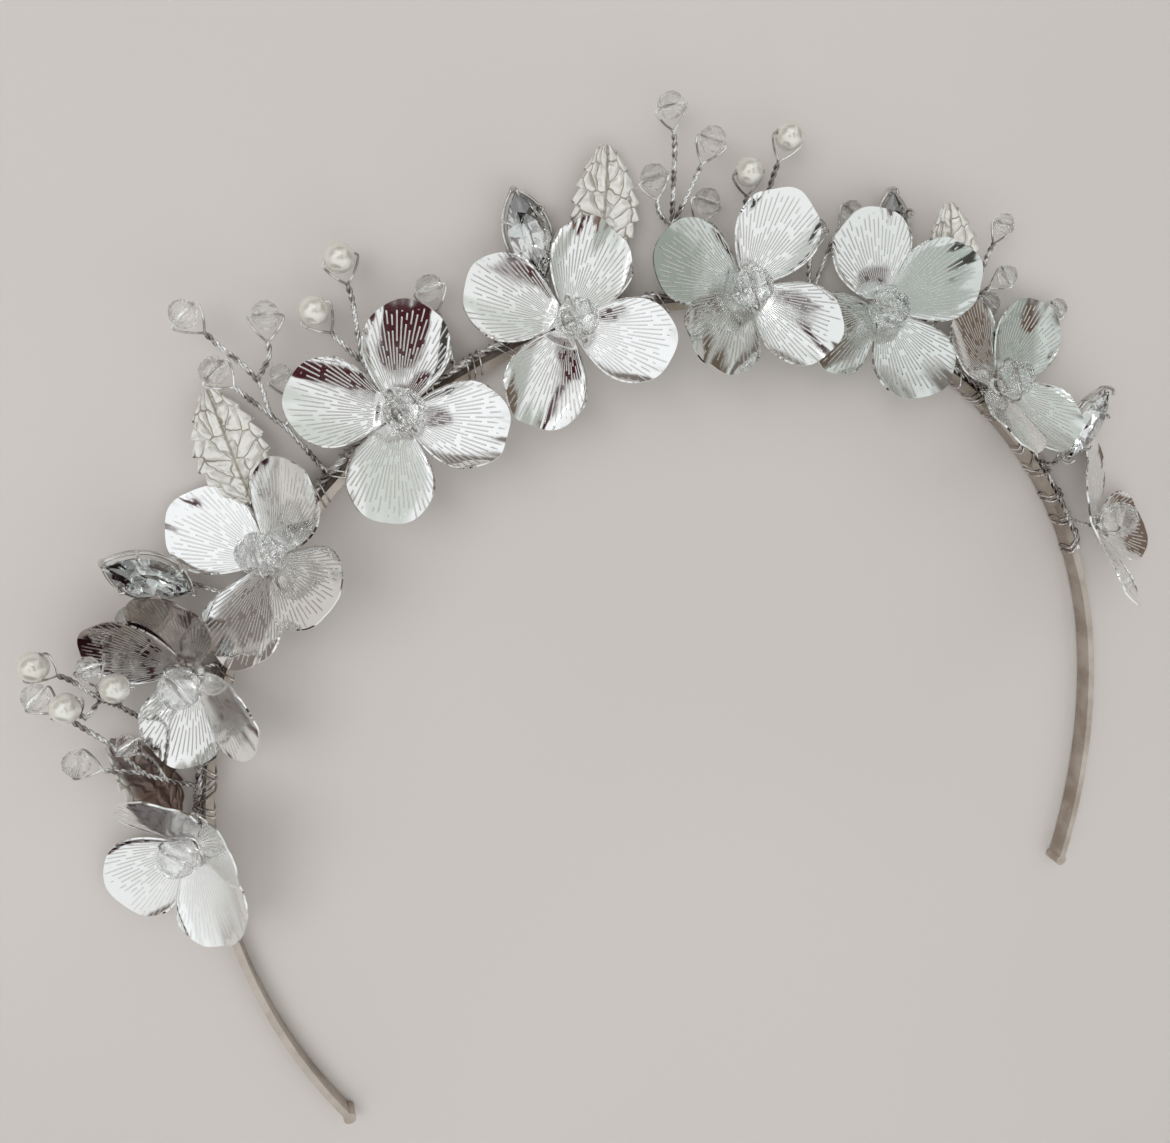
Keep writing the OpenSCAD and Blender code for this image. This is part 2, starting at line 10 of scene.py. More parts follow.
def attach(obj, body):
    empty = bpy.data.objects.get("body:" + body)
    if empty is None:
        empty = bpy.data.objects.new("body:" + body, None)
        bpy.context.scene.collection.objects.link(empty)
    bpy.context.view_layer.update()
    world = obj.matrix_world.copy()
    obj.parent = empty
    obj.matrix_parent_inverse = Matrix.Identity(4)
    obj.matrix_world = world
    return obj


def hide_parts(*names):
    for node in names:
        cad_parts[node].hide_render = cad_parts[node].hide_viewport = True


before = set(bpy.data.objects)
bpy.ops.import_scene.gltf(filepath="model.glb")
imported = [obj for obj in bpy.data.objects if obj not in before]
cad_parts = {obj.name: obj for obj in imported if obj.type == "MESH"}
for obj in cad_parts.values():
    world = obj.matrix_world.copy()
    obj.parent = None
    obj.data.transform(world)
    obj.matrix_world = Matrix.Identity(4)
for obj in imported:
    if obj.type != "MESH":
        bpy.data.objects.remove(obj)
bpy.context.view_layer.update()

# Camera, floor and light
# The piece lies flat on a pale table, and the camera looks down on it from 17 cm above the table, over
# the upper left of the arch. The whole arch is in the picture, its tips at the lower left and right.
PHOTO_WIDTH = 1170
FOCAL_PIXELS = 1250
SENSOR_WIDTH = 36
EYE = Vector((-0.0503, 0.1044, 0.1708))
AHEAD = Vector((0.212, -0.355, -0.911)).normalized()
RIGHT = AHEAD.cross(Vector((0.264, 0.918, -0.297))).normalized()
FACING = Matrix((RIGHT, RIGHT.cross(AHEAD), -AHEAD)).transposed().to_4x4()

lens = bpy.data.cameras.new("camera")
lens.sensor_fit = "HORIZONTAL"
lens.sensor_width = SENSOR_WIDTH
lens.lens = FOCAL_PIXELS / PHOTO_WIDTH * SENSOR_WIDTH
lens.clip_start = 0.005
camera = bpy.data.objects.new("camera", lens)
camera.matrix_world = FACING
camera.location = EYE
bpy.context.scene.collection.objects.link(camera)
bpy.context.scene.camera = camera


class Shade:
    """A value in a material's node tree, on which sums are written as plain expressions."""

    def __init__(self, tree, socket=None):
        self.tree = tree
        self.socket = socket

    def node(self, kind, sockets=None, output=0, **settings):
        """Adds a node: its settings first, then the values or links of its sockets."""
        made = self.tree.nodes.new(kind)
        for name, value in settings.items():
            setattr(made, name, value)
        for name, value in (sockets or {}).items():
            if isinstance(value, Shade):
                self.tree.links.new(value.socket, made.inputs[name])
            else:
                made.inputs[name].default_value = value
        return Shade(self.tree, made.outputs[output])

    def math(self, operation, a, b=0.0):
        return self.node("ShaderNodeMath", {0: a, 1: b}, operation=operation)

    def __add__(self, other):
        return self.math("ADD", self, other)

    def __sub__(self, other):
        return self.math("SUBTRACT", self, other)

    def __rsub__(self, other):
        return self.math("SUBTRACT", other, self)

    def __mul__(self, other):
        return self.math("MULTIPLY", self, other)

    __radd__, __rmul__ = __add__, __mul__

    def part(self, axis):
        """One component of a vector: 0, 1 or 2."""
        return self.node("ShaderNodeSeparateXYZ", {0: self}, output=axis)

    def stretch(self, low, high, to_low=0.0, to_high=1.0):
        """The value's range low to high, eased into another."""
        ends = {"From Min": low, "From Max": high, "To Min": to_low, "To Max": to_high}
        return self.node("ShaderNodeMapRange", {"Value": self, **ends}, interpolation_type="SMOOTHSTEP")

    def between(self, low, high):
        """A colour between two, each a tuple or a Shade, by this value."""
        low, high = ((*colour, 1) if isinstance(colour, tuple) else colour for colour in (low, high))
        return self.node("ShaderNodeMix", {0: self, 6: low, 7: high}, output=2, data_type="RGBA")

    def object_point(self):
        """Where a point of the object lies, in metres."""
        return self.node("ShaderNodeTexCoord", output=3)

    def noise(self, where, scale, detail=3.0):
        return self.node("ShaderNodeTexNoise", {"Vector": where, "Scale": scale, "Detail": detail})

    def attribute(self, name):
        """A number that the mesh holds at each corner point."""
        return self.node("ShaderNodeAttribute", attribute_name=name, output=2)

    def bump(self, height, strength, distance, **more):
        sockets = {"Height": height, "Strength": strength, "Distance": distance, **more}
        return self.node("ShaderNodeBump", sockets)


def finish_of(name, **sockets):
    """A new material and its node tree; the sockets are the Principled shader's own."""
    made = bpy.data.materials.new(name)
    made.use_nodes = True
    shader = made.node_tree.nodes["Principled BSDF"]
    for socket, value in sockets.items():
        shader.inputs[socket.replace("_", " ")].default_value = value
    return made, Shade(made.node_tree)


def feed(material, **links):
    """Links values into the Principled shader's sockets."""
    shader = material.node_tree.nodes["Principled BSDF"]
    for socket, value in links.items():
        material.node_tree.links.new(value.socket, shader.inputs[socket.replace("_", " ")])


def tint(material, shade, scale, low, high):
    """A base colour that wanders between two, a given number of times in a metre."""
    wandering = shade.noise(shade.object_point(), scale, 2).stretch(0.3, 0.7)
    feed(material, Base_Color=wandering.between(low, high))


def place(name, shape, materials, smooth=True, floor=False):
    """An object of this mesh or curve, which rides on the piece, or with floor set is left unattached."""
    data = shape
    if isinstance(shape, bmesh.types.BMesh):
        data = bpy.data.meshes.new(name)
        shape.to_mesh(data)
        shape.free()
        for face in data.polygons:
            face.use_smooth = smooth
    for material in materials:
        data.materials.append(material)
    made = bpy.data.objects.new(name, data)
    bpy.context.scene.collection.objects.link(made)
    if floor:
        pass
    else:
        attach(made, "root")
    return made


def square(half_width, matrix):
    shape = bmesh.new()
    bmesh.ops.create_grid(shape, x_segments=1, y_segments=1, size=half_width, matrix=matrix)
    return shape


# The table lies just below the band's back edge, and reaches past the picture on every side
TABLE_HALF = 2.5
TABLE_Z = -0.0003
table_finish, shade = finish_of("pale_table", Roughness=0.75)
tint(table_finish, shade, 6, (0.697, 0.656, 0.624), (0.734, 0.693, 0.662))
place("table_top", square(TABLE_HALF, Matrix.Translation((0, 0, TABLE_Z))), [table_finish], floor=True)

# The room round the scene is nearly white overhead, brownish low down and grey green on the right. It
# has dark wine-red areas and two small lamps, which the mirror-bright petals pick up.
OVERHEAD = (0.85, 0.86, 0.855)
LOW_DOWN = (0.36, 0.33, 0.30)
WINE = (0.055, 0.012, 0.016)
LAMP = (7, 7, 7)
# Each patch: its direction, the angle that it fills, the angle at which it has faded, and its colour
PATCHES = [
    ((-0.33, 0.46, 0.83), 20, 42, (0.95, 0.96, 0.97)),
    ((0.8, -0.02, 0.6), 15, 25, (0.42, 0.445, 0.41)),
    ((0.97, 0.10, 0.15), 20, 32, (0.15, 0.11, 0.085)),
    ((0.2, 0.97, 0.1), 20, 34, (0.19, 0.165, 0.15)),
    ((-0.65, 0.7, 0.15), 18, 36, (0.20, 0.17, 0.15)),
    ((0.45, 0.52, 0.72), 7, 15, (0.62, 0.65, 0.61)),
    ((-0.35, 0.05, 0.93), 6, 16, (0.54, 0.57, 0.545)),
    ((0.28, -0.08, 0.96), 8, 10.5, WINE),
    ((0.34, 0.24, 0.91), 5.5, 7.5, WINE),
    ((0.20, 0.27, 0.94), 6.5, 8.5, WINE),
    ((-0.09, 0.55, 0.83), 2.5, 4.5, WINE),
    ((-0.55, -0.82, 0.12), 27, 34, (0.030, 0.010, 0.013)),
    ((0.57, -0.10, 0.82), 3, 5, (0.16, 0.09, 0.07)),
    ((0.10, 0.55, 0.83), 1.5, 2.6, LAMP),
    ((-0.45, 0.10, 0.88), 1.5, 2.6, LAMP),
]
# How far the edge of a patch wanders, as a share of the patch's own size
WANDER = 0.22

world = bpy.data.worlds.new("studio")
world.use_nodes = True
bpy.context.scene.world = world
bpy.context.scene.view_settings.view_transform = "Standard"
sky = Shade(world.node_tree)
toward = sky.node("ShaderNodeTexCoord", output=0)
wander = (sky.noise(toward, 3.5, 2) - 0.5) * WANDER


def patch(way, inner, outer):
    """1 inside an angle, in degrees, round a direction, and 0 outside a wider one."""
    ends = {0: toward, 1: Vector(way).normalized()}
    facing = sky.node("ShaderNodeVectorMath", ends, output=1, operation="DOT_PRODUCT")
    edge = math.radians(outer)
    return (facing + wander * math.sin(edge)).stretch(math.cos(edge), math.cos(math.radians(inner)))


glow = toward.part(2).stretch(-0.3, 0.75).between(LOW_DOWN, OVERHEAD)
for way, inner, outer, colour in PATCHES:
    glow = patch(way, inner, outer).between(glow, colour)
world.node_tree.links.new(glow.socket, world.node_tree.nodes["Background"].inputs["Color"])

# A soft window throws the shadows, and doesn't show in reflections
WINDOW_AT = Vector((-0.45, 0.42, 0.80))
WINDOW_SIZE = 0.5
WINDOW_WATTS = 2.2
lamp = bpy.data.lights.new("window", "AREA")
lamp.size = WINDOW_SIZE
lamp.energy = WINDOW_WATTS
window = bpy.data.objects.new("window", lamp)
window.location = WINDOW_AT
window.rotation_euler = (-WINDOW_AT).to_track_quat("-Z", "Y").to_euler()
window.visible_camera = window.visible_glossy = False
bpy.context.scene.collection.objects.link(window)

# The dark back of the camera, which shows only in reflections, as the small dark spot in every pearl
CARD_HALF = 0.026
CARD_BEHIND = 0.004
card_finish, shade = finish_of("camera_black", Roughness=0.6)
mottle = shade.noise(shade.object_point(), 40, 2)
feed(card_finish, Base_Color=mottle.between((0.04, 0.035, 0.032), (0.08, 0.07, 0.064)))
card_at = Matrix.Translation(EYE - AHEAD * CARD_BEHIND) @ FACING
card = place("camera_back", square(CARD_HALF, card_at), [card_finish], floor=True)
card.visible_camera = card.visible_diffuse = card.visible_shadow = False

# Band
# One narrow flat strip of spring steel, silver plated and a little dulled, with its tips rolled.
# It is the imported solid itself; only its finish is made here.
band_finish, shade = finish_of("band_plate", Metallic=1.0)
where = shade.object_point()
cloud = shade.noise(where, 180, 4)
scratch = shade.noise(shade.node("ShaderNodeMapping", {"Vector": where, "Scale": (1, 1, 6)}), 900, 3)
feed(band_finish,
     Base_Color=cloud.stretch(0.3, 0.7).between((0.40, 0.34, 0.29), (0.62, 0.56, 0.50)),
     Roughness=cloud.stretch(0.3, 0.7, 0.22, 0.38),
     Normal=shade.bump(scratch, 0.25, 0.00005))
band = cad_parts["band"]
band.data.materials.clear()
band.data.materials.append(band_finish)

# Twisted wire along the band
# Three silver plated craft wires twisted into a cord along the band's outer face, and lashed to it with
# finer wire. As in the CAD, sizes are in millimetres, and stations in degrees round the arch from +X.
MM = 0.001
ARCH_R = 75
CORD_OUT = 0.9
CORD_UP = 1.5
CORD_FROM = 14
CORD_RUN = 157
CORD_STEPS = 520
CORD_WIRE_R = 0.29
CORD_TWIST_R = 0.34
CORD_PITCH = 4.6
LASHING_R = 0.13
LASHING_FROM = 15.0
LASHING_TO = 170
# Where the lashings lie close together, between flowers 1 and 2
CLOSE_FROM = 149
CLOSE_TO = 164
# How far round the arch one turn of a lashing moves on
LASHING_PITCH = 0.75
# One turn of a lashing: how far out and up, then its shares of the way on and of the way across
LASHING_TURN = [
    (-1.3, 0.1, 0, 0), (-1.3, 2.9, 0.15, 0.05), (-0.6, 3.2, 0.3, 0.3), (1.2, 2.55, 0.55, 0.85),
    (1.75, 1.5, 0.62, 1), (1.2, 0.4, 0.7, 0.9), (-0.2, -0.1, 0.9, 0.3),
]


def along(station):
    """The way along the arch, from its right end to its left."""
    return Vector((-math.sin(math.radians(station)), math.cos(math.radians(station)), 0))


def outward(station):
    """The way out from the middle of the arch."""
    return Vector((math.cos(math.radians(station)), math.sin(math.radians(station)), 0))


def spot_at(station, height, forward):
    """A point, in metres, from its station and its millimetres over the band and forward."""
    return (outward(station) * (ARCH_R + height) + Vector((0, 0, forward))) * MM


def cord_at(station):
    return spot_at(station, CORD_OUT, CORD_UP)


def eased(points, step=0.3 * MM):
    """Points about a step apart on a smooth line through these."""
    last = len(points) - 1
    ways = [(points[min(i + 1, last)] - points[max(i - 1, 0)]).normalized() for i in range(last + 1)]
    line = [points[0]]
    for i in range(last):
        here, there = points[i], points[i + 1]
        reach = (there - here).length / 3
        count = max(2, math.ceil((there - here).length / step)) + 1
        handles = here + ways[i] * reach, there - ways[i + 1] * reach
        line += interpolate_bezier(here, *handles, there, count)[1:]
    return line


def wires(name, radius, material, roundness=2):
    """An empty curve whose lines become round wires of this radius."""
    data = bpy.data.curves.new(name, "CURVE")
    data.dimensions = "3D"
    data.bevel_depth = radius
    data.bevel_resolution = roundness
    data.use_fill_caps = True
    data.materials.append(material)
    return data


def lay(curve, points, closed=False, thin=None):
    """Adds a wire to the curve; thin gives its thickness at a share of its length."""
    spline = curve.splines.new("POLY")
    spline.points.add(len(points) - 1)
    for i, point in enumerate(points):
        spline.points[i].co = (*point, 1)
        if thin:
            spline.points[i].radius = thin(i / (len(points) - 1))
    spline.use_cyclic_u = closed


def twist(curve, line, strands, offset, pitch):
    """Lays strands twisted round one another along a line of points."""
    last = len(line) - 1
    side = (line[1] - line[0]).normalized().orthogonal()
    paths = [[] for _ in range(strands)]
    gone = 0.0
    for i, point in enumerate(line):
        run = (line[min(i + 1, last)] - line[max(i - 1, 0)]).normalized()
        side = (side - run * side.dot(run)).normalized()
        other = run.cross(side)
        gone += (point - line[i - 1]).length if i else 0.0
        for k, path in enumerate(paths):
            angle = 2 * math.pi * (gone / pitch + k / strands)
            path.append(point + (side * math.cos(angle) + other * math.sin(angle)) * offset)
    for path in paths:
        lay(curve, path)


wire_finish, shade = finish_of("wire_plate", Metallic=1.0)
# Painted dark reflections: the base colour goes dark in small patches, where the metal is also rougher
painted_reflection_patches = shade.noise(shade.object_point(), 420, 3)
feed(wire_finish,
     Base_Color=painted_reflection_patches.stretch(0.42, 0.58).between((0.36, 0.33, 0.31), (0.97, 0.97, 0.97)),
     Roughness=painted_reflection_patches.stretch(0.3, 0.7, 0.22, 0.08))

cord = wires("wire_cord", CORD_WIRE_R * MM, wire_finish)
cord_line = [cord_at(CORD_FROM + CORD_RUN * i / CORD_STEPS) for i in range(CORD_STEPS + 1)]
twist(cord, cord_line, 3, CORD_TWIST_R * MM, CORD_PITCH * MM)
cord_piece = place("wire_cord", cord, [])
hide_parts("binding_wire")

lashing = wires("wire_lashing", LASHING_R * MM, wire_finish, 1)
draw = random.Random(4)
station = LASHING_FROM
while station < LASHING_TO:
    turns = draw.choice([1, 2, 2, 3])
    lean = draw.choice([-1, 1]) * draw.uniform(0.9, 1.9)
    loop = []
    for turn in range(turns):
        for out, up, on, across in LASHING_TURN:
            loop.append(spot_at(station + (turn + on) * LASHING_PITCH + lean * (across - 0.5), out, up))
    lay(lashing, eased(loop, 0.35 * MM))
    gap = draw.uniform(0.0, 0.6) if CLOSE_FROM < station < CLOSE_TO else draw.uniform(0.8, 4.2)
    station += turns * LASHING_PITCH + gap
lashing_piece = place("wire_lashing", lashing, [])

# Flowers
# Nine four-petalled flowers stamped from mirror-bright plated brass, about 30 mm across. Each petal is
# engraved with fine radiating lines broken into dashes, and bent by hand.
PETAL_L = 15
PETAL_W = 11.8
FLOWER_SHEET = 0.25
# The slots between petals end at this radius, where each petal takes this many degrees to each side
SLOT_R = 2.1
HUB_ARC = 40
EYE_R = 0.9
# The rings inside the slots, down to the eye that is cut in the middle: radius and height
HUB_RINGS = [(1.5, 0.0), (1.15, 0.12), (EYE_R, -0.1)]
# Share of a petal's length at which it is widest
SHOULDER = 0.62
# Station, height, forward, lean outward, lean along the arch and turn, then for the four petals,
# clockwise: rise, sideways swing, bend, hollowing across and ruffle
FLOWERS = [
    [167.5, 2.0, 6.5, 30, 0, 203,
     [40, 36, 14, 8], [-16, 4, 4, 14], [10, 10, 10, 10], [8, 5, 10, 10], [0.2, 0.2, 0.3, 0.1]],
    [148.5, 4.8, 6.0, 22, 28, 183,
     [11, 30, 20, 13], [16, -10, 0, -8], [15, 10, 20, 10], [6, 10, 8, 6], [0.1, 0.2, 0.2, 0.2]],
    [135, 1.5, 7.0, 45, -10, 189,
     [33, 18, -2, 21], [-3, -6, 8, 1], [30, 10, 10, 10], [8, 8, 12, 6], [0.25, 0.2, 0.35, 0.25]],
    [115.5, 1.7, 7.0, 12, -15, 222,
     [12, 20, 7, -2], [3, -2.5, -1, 0], [15, 20, 10, 10], [8, 10, 6, 6], [0.1, 0.45, 0.1, 0.1]],
    [96, 1.2, 7.0, 14, -10, 229,
     [2, 23, -2, -3], [-1, 4, -0.5, 1], [10, 15, 10, 15], [6, 6, 8, 6], [0.4, 0.15, 0.4, 0.1]],
    [76, 1.6, 5.6, 14, 6, 241,
     [21, 14, 27, 12], [3, -4, -6, 6], [10, 10, 15, 10], [6, 8, 8, 6], [0.4, 0.3, 0.45, 0.1]],
    [59.5, 2.8, 5.3, 5, 13, 312,
     [15, 16, 23, 24], [-7, 3, 3, 1], [10, 10, 15, 15], [8, 6, 8, 6], [0.3, 0.4, 0.2, 0.3]],
    [41.5, 2.2, 5.4, 29, 4, 266,
     [20, 18, 31, 14], [2, -4, 12, -10], [15, 20, 15, 10], [8, 12, 10, 8], [0.1, 0.3, 0.3, 0.1]],
    [19, 1.5, 8.2, 48, 0, 45,
     [10, 8, 18, 15], [-4, 0, 4, 0], [10, 10, 10, 10], [8, 8, 8, 8], [0.2, 0.2, 0.2, 0.2]],
]
# The numbers that each point of a petal holds, for its finish: how faint its lines are, and its painted
# brown and green reflections
WEAR_AND_PAINTED_REFLECTIONS = "worn", "painted_brown_reflection", "painted_green_reflection"
# Petals, by flower and place in it, on which the lines were struck faintly
WORN = {
    (1, 0): 0.7, (1, 1): 0.6, (1, 2): 0.75, (1, 3): 0.55, (2, 0): 0.7, (2, 1): 0.7, (2, 3): 0.45,
    (3, 0): 0.5, (3, 3): 0.6, (4, 1): 0.3, (4, 2): 0.35, (5, 0): 0.3, (5, 1): 0.45, (5, 2): 0.4,
    (6, 2): 0.3, (8, 2): 0.4,
}
# Petals with a painted green-grey reflection of the room in their base colour
PAINTED_GREEN_REFLECTION = {
    (6, 1): 0.4, (6, 2): 0.6, (6, 3): 0.9, (7, 0): 0.35, (7, 1): 0.8, (7, 2): 0.7, (7, 3): 0.8,
    (8, 0): 1, (8, 1): 0.8,
}
# Petals with a painted brown reflection in their base colour: how far across them, from -1 to 1, it is
# full, and where it has gone
PAINTED_BROWN_REFLECTION = {(2, 0): (2, 3), (2, 3): (-0.1, 0.35)}
NO_PAINTED_BROWN = (-3, -2)
FULL_PAINTED_BROWN = 0.85
# Engraved lines to a petal, and dashes along a line: the fewest, and how many more there may be
LINES = 30
DASHES = 2.1
MORE_DASHES = 1.6
# How far the pattern is moved on the backs, which are plain: past the petals' edge
BACK = 2
# Sheets bend smoothly up to this angle, in radians, and have a crisp edge past it
CREASE = 0.7


def axes(x, y, z, origin):
    """A frame with these axes and this origin."""
    return Matrix.Translation(origin) @ Matrix((x, y, z)).transposed().to_4x4()


def flower_frame(station, height, forward, lean_out, lean_along):
    """A flower's own frame, in millimetres: x along the arch, z out of its face."""
    lean, side = math.radians(lean_out), math.radians(lean_along)
    z = (Vector((0, 0, 1)) * math.cos(lean) * math.cos(side)
         + outward(station) * math.sin(lean) * math.cos(side) + along(station) * math.sin(side))
    x = along(station) - z * along(station).dot(z)
    x.normalize()
    return axes(x, z.cross(x), z, spot_at(station, height, forward)) @ Matrix.Scale(MM, 4)


def petal_point(u, v, rise, swing, bend, hollow, ruffle, phase):
    """A point of a petal, and its angle and radius before bending: u from hub to edge, v across."""
    nearest = SLOT_R / PETAL_L
    wobble = (0.008 + 0.03 * ruffle) * math.sin(5 * v + phase) * math.cos(v)
    farthest = SHOULDER + (1 - SHOULDER) * math.cos(v) + wobble
    share = nearest + (farthest - nearest) * u
    start = rise - bend / 2
    slope = start + bend * share
    curl_r = PETAL_L / bend
    run = curl_r * (math.sin(slope) - math.sin(start))
    climb = curl_r * (math.cos(start) - math.cos(slope))
    spread = min(1, share / SHOULDER)
    y = PETAL_W / 2 * math.sin(math.pi / 2 * spread) * math.sin(v)
    ripple = math.sin(3.1 * v + phase) + 0.35 * math.sin(7.3 * v + 2 * phase) + 0.14 * math.sin(17 * v)
    lift = PETAL_W / 2 * math.sin(hollow) * spread * (1 - math.cos(v))
    lift += ruffle * u ** 4 * ripple
    point = Vector((run - lift * math.sin(slope), y, climb + lift * math.cos(slope)))
    flat = (math.atan2(y, share * PETAL_L), math.hypot(y, share * PETAL_L))
    return Matrix.Rotation(swing, 3, "Z") @ point, flat


def new_verts(made):
    return [part for part in made["geom"] if isinstance(part, bmesh.types.BMVert)]


def make_wall(shape, thickness):
    """Gives a sheet its thickness about its middle, with crisp edges."""
    bmesh.ops.recalc_face_normals(shape, faces=shape.faces[:])
    normals = {tuple(vert.co): vert.normal.copy() for vert in shape.verts}
    front = shape.verts[:]
    back = new_verts(bmesh.ops.extrude_face_region(shape, geom=shape.faces[:], use_keep_orig=True))
    for verts, way in [(front, 0.5), (back, -0.5)]:
        for vert in verts:
            vert.co += normals[tuple(vert.co)] * thickness * way
    bmesh.ops.recalc_face_normals(shape, faces=shape.faces[:])
    for edge in shape.edges:
        edge.smooth = edge.calc_face_angle(0) < CREASE


# The pattern runs across the petals in quarter turns and out in petal lengths. Each line has its own
# dashes, drawn by chance, and stops short of the hub and at its own distance from the edge.
flower_finish, shade = finish_of("stamped_silver", Metallic=1.0)
across = shade.node("ShaderNodeUVMap", uv_map="petal").part(0)
out = shade.node("ShaderNodeUVMap", uv_map="petal").part(1)
worn, painted_brown_reflection, painted_green_reflection = (shade.attribute(name) for name in WEAR_AND_PAINTED_REFLECTIONS)
count = across * LINES
line_number = shade.math("FLOOR", count)
chance = shade.node("ShaderNodeTexWhiteNoise", {"W": line_number}, noise_dimensions="1D")
second = shade.node("ShaderNodeTexWhiteNoise", {"W": line_number + 40.5}, noise_dimensions="1D")
from_middle = shade.math("ABSOLUTE", shade.math("FRACT", count) - 0.5) * shade.math("MAXIMUM", out, 0.5)
dash = shade.math("FRACT", out * (DASHES + second * MORE_DASHES) + chance * 5.3)
line = from_middle.stretch(0.07, 0.13, 1, 0) * dash.stretch(0.80, 0.86, 1, 0) * out.stretch(0.10, 0.22)
cut = line * (out + chance * 0.13).stretch(0.93, 0.99, 1, 0) * (1 - worn)
ripple = shade.noise(shade.object_point(), 170, 2)
dents = shade.bump(ripple, 0.16, 0.0005)
# Painted reflection in the base colour: the green-grey of the room, on the petals listed for it
silver_with_painted_green = painted_green_reflection.between((0.95, 0.96, 0.955), (0.655, 0.705, 0.672))
# Painted brown reflection in the base colour, darker towards the petal's edge
painted_brown_colour = out.stretch(0.25, 0.95).between((0.42, 0.37, 0.345), (0.30, 0.25, 0.225))
feed(flower_finish,
     Base_Color=cut.between(painted_brown_reflection.between(silver_with_painted_green, painted_brown_colour), (0.83, 0.82, 0.805)),
     Roughness=cut * 0.42 + ripple.stretch(0.3, 0.7, 0.06, 0.13),
     Normal=shade.bump(1 - cut, 0.6, 0.00008, Normal=dents))

# A petal starts as a grid, from -1 to 1 both ways, and its nearest row goes on the hub
NEAREST_ROW = -0.999


def add_petal(shape, number, k, phase, drawn_at):
    """Adds a petal, notes where its points lie in the pattern, and returns its row on the hub."""
    turn, *bends, ruffles = FLOWERS[number - 1][5:]
    way = math.radians(turn - 90 * k)
    rise, swing, bend, hollow = (math.radians(angles[k]) for angles in bends)
    bending = rise, swing + way, bend, hollow, ruffles[k], phase
    worn, painted_brown_reflection, painted_green_reflection = (shape.verts.layers.float[name] for name in WEAR_AND_PAINTED_REFLECTIONS)
    full, none = PAINTED_BROWN_REFLECTION.get((number, k), NO_PAINTED_BROWN)
    made = bmesh.ops.create_grid(shape, x_segments=32, y_segments=18, size=1)["verts"]
    nearest = sorted((vert for vert in made if vert.co.y < NEAREST_ROW), key=lambda vert: vert.co.x)
    for vert in made:
        x, y, _ = vert.co
        if y < NEAREST_ROW:
            angle = math.radians(HUB_ARC) * x
            vert.co = Vector((math.cos(way + angle), math.sin(way + angle), 0)) * SLOT_R
            flat = angle, SLOT_R
        else:
            vert.co, flat = petal_point((y + 1) / 2, x * math.pi / 2, *bending)
        drawn_at[vert] = (flat[0] / (math.pi / 2) + 0.5 + 2 * k + 8 * number, flat[1] / PETAL_L)
        vert[worn] = WORN.get((number, k), 0)
        # Painted green-grey reflection, tinted into the petal's base colour
        vert[painted_green_reflection] = PAINTED_GREEN_REFLECTION.get((number, k), 0)
        # Painted brown reflection, tinted into the petal's base colour
        vert[painted_brown_reflection] = FULL_PAINTED_BROWN * min(1, max(0, (none - x) / (none - full)))
    return nearest


def add_hub(shape, rows, turn, drawn_at):
    """Joins the petals' rows on the hub into one ring, and adds the rings inside it."""
    ring = []
    for row, following in zip(rows, rows[-1:] + rows[:-1]):
        ring += [shape.edges.get(ends) for ends in zip(row, row[1:])]
        ring.append(shape.edges.new((row[-1], following[0])))
    for radius, height in HUB_RINGS:
        made = bmesh.ops.extrude_edge_only(shape, edges=ring)
        inner = set(new_verts(made))
        edges = [part for part in made["geom"] if isinstance(part, bmesh.types.BMEdge)]
        ring = [edge for edge in edges if inner.issuperset(edge.verts)]
        for vert in inner:
            before = math.hypot(vert.co.x, vert.co.y)
            quarters = (math.degrees(math.atan2(vert.co.y, vert.co.x)) - turn + 45) / 90
            vert.co = Vector((vert.co.x / before * radius, vert.co.y / before * radius, height))
            drawn_at[vert] = (quarters % 1, radius / PETAL_L)


draw = random.Random(11)
for number, row in enumerate(FLOWERS, 1):
    shape = bmesh.new()
    pattern = shape.loops.layers.uv.new("petal")
    for name in WEAR_AND_PAINTED_REFLECTIONS:
        shape.verts.layers.float.new(name)
    drawn_at = {}
    rows = [add_petal(shape, number, k, draw.uniform(0, 6.28), drawn_at) for k in range(4)]
    add_hub(shape, rows, row[5], drawn_at)
    for face in shape.faces:
        for loop in face.loops:
            loop[pattern].uv = drawn_at[loop.vert]
    make_wall(shape, FLOWER_SHEET)
    for face in shape.faces:
        if face.normal.z < 0:
            for loop in face.loops:
                loop[pattern].uv.y += BACK
    bmesh.ops.transform(shape, matrix=flower_frame(*row[:5]), verts=shape.verts[:])
    piece = place(f"stamped_flower_{number}", shape, [flower_finish])
    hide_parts(f"flower_{number}")

# Flower beads
# A clear faceted glass bead over each eye, on a loop of wire that comes up through the eye, runs up
# one side, through the bead and down the other. A twisted stem carries it from the cord.
HEART_D = 5.8
HEART_LIFT = 3.7
HEART_WIRE_R = 0.17
STALK_WIRE_R = 0.19
STALK_PITCH = 1.9
# A stalk leaves the cord this many degrees to the left of its flower, and ends this far below it
STALK_START = 2.5
STALK_END = 0.6
# One side of the loop, across and up from the bead's middle
HEART_FOOT = (0, -4.7)
HEART_LOOP = [(0.35, -3.6), (1.4, -3.15), (3.0, -1.6), (3.2, -0.4), (2.7, 0.0)]
BORE_R = 0.42
# Rings of a bead's corners: turn in facets, place along the bore and radius, as shares of its radius
BEAD_END = 0.42
BEAD_RINGS = [
    (0, -0.88, BEAD_END), (0.5, -0.62, 0.78), (0, -0.2, 0.99),
    (0, 0.2, 0.99), (0.5, 0.62, 0.78), (0, 0.88, BEAD_END),
]
# Faces within this angle of each other, in radians, are one facet
FLAT = 0.01

glass_finish, shade = finish_of("clear_glass", Roughness=0.04, IOR=1.52,
                                Transmission_Weight=1.0, Alpha=0.62)
tint(glass_finish, shade, 300, (0.93, 0.96, 0.96), (1, 1, 1))


def wrap(shape):
    """Wraps flat facets tightly round loose points."""
    bmesh.ops.convex_hull(shape, input=shape.verts[:])
    bmesh.ops.dissolve_limit(shape, angle_limit=FLAT, verts=shape.verts[:], edges=shape.edges[:])


